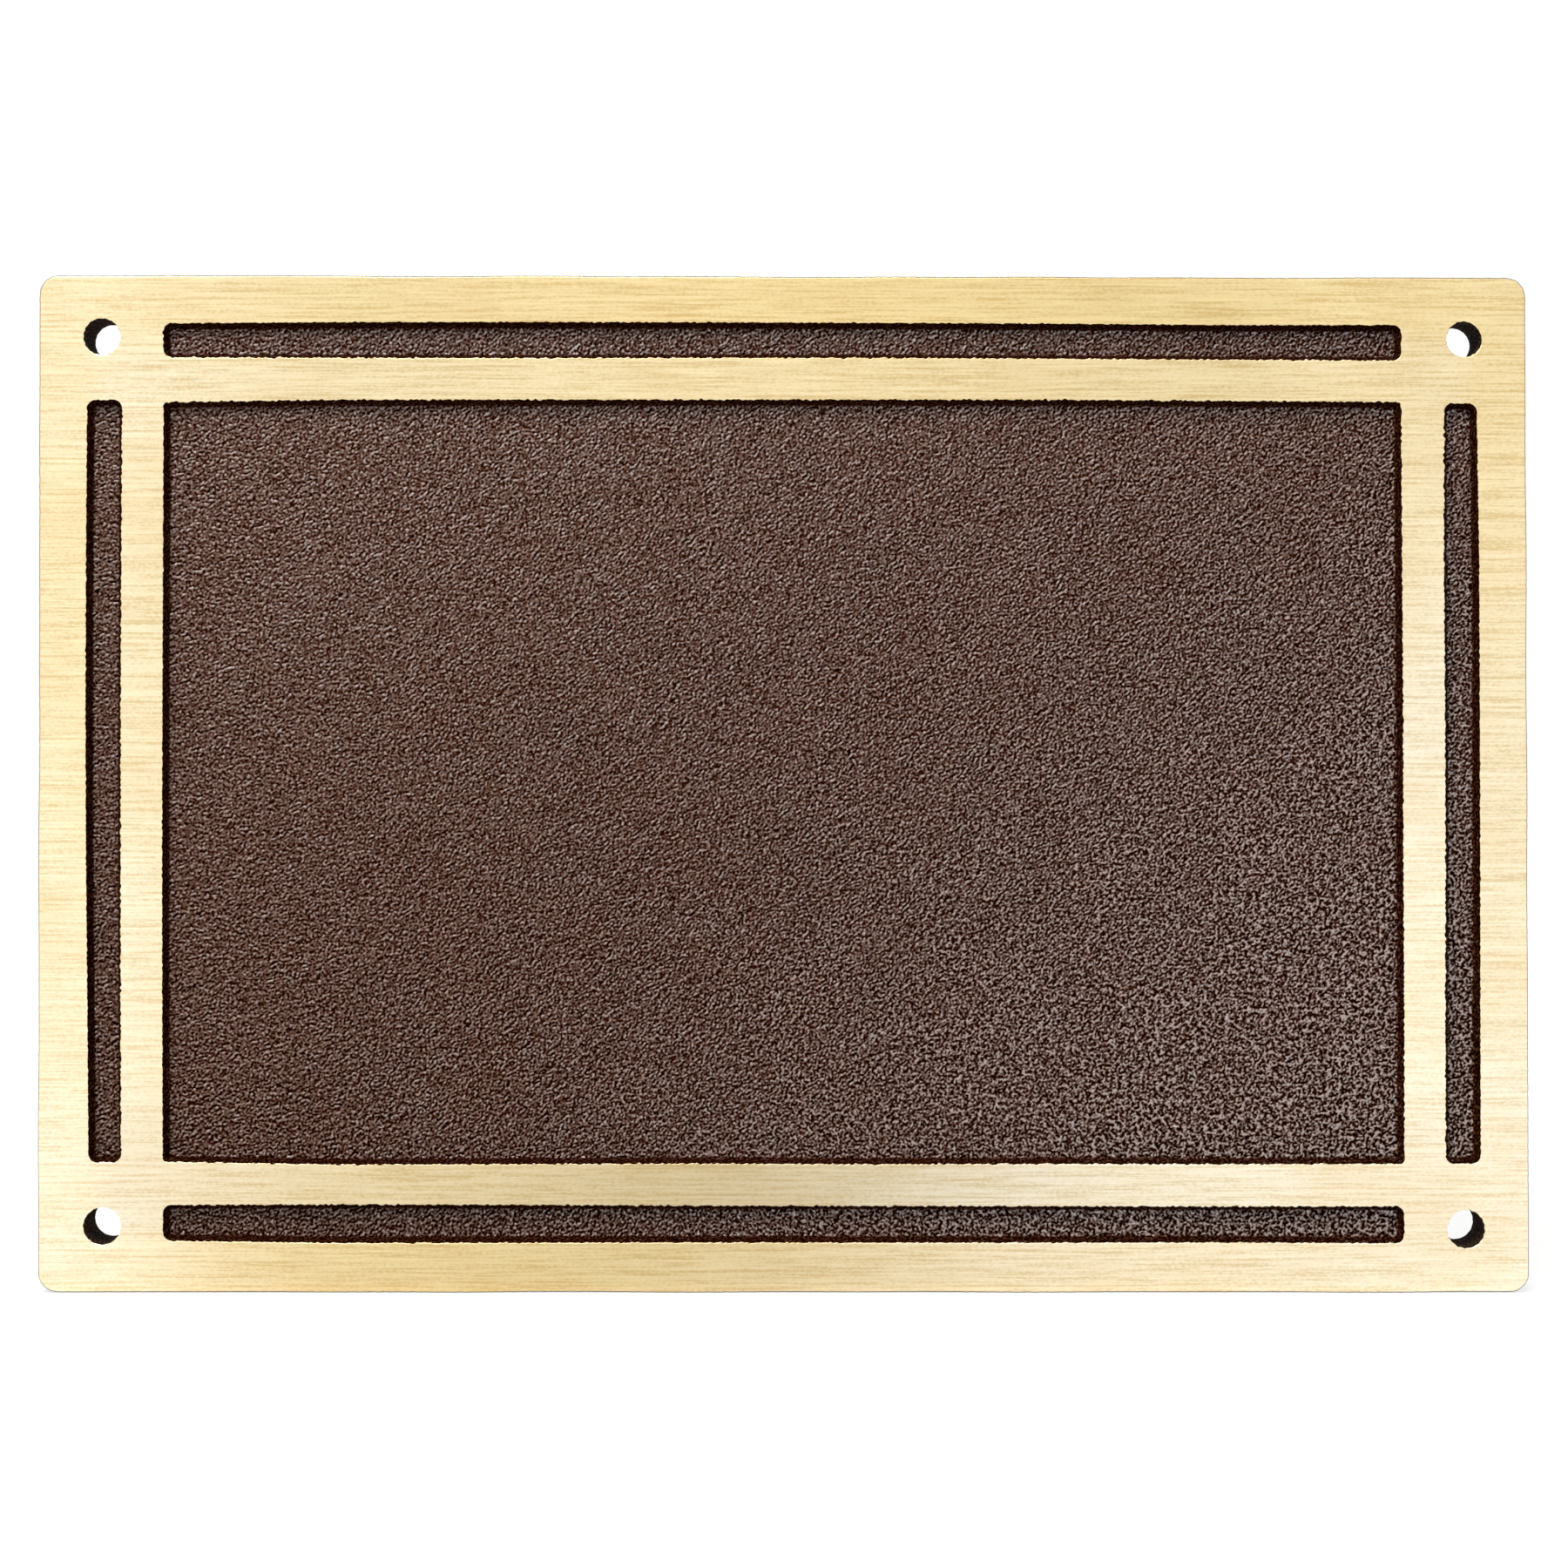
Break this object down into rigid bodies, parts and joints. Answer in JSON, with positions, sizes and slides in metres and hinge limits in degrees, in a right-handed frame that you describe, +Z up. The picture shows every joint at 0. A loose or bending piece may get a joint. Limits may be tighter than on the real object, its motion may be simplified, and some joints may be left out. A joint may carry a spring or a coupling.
{
  "type": "cast door plaque",
  "caption": "Flat cast-bronze plaque blank for a door or gate, with a brushed raised border, a sunken brown leather-grain field and border channels, and corner screw holes.",
  "frame": {"origin": "centre of the flat back face, which rests on the door, gate or wall", "axes": "upright: +X along the width, +Z up along the height, the face looks towards -Y and +Y points into the wall"},
  "size_m": [0.22, 0.008, 0.15],
  "materials": {
    "brushed_bronze": "sand-cast bronze, face belt-sanded along the width and left bright, back as cast",
    "brown_grain_enamel": "dark brown stoving enamel over a cast leather grain, satin",
    "brown_bore_enamel": "dark brown enamel over the rough cored bore",
    "dark_edge_enamel": "near-black brown enamel over the as-cast side"
  },
  "bodies": {
    "root": {"plate_casting": "brushed_bronze", "centre_field_enamel": "brown_grain_enamel", "top_channel_enamel": "brown_grain_enamel", "bottom_channel_enamel": "brown_grain_enamel", "left_channel_enamel": "brown_grain_enamel", "right_channel_enamel": "brown_grain_enamel", "screw_hole_enamel": "brown_bore_enamel", "side_edge_enamel": "dark_edge_enamel"}
  },
  "joints": []
}
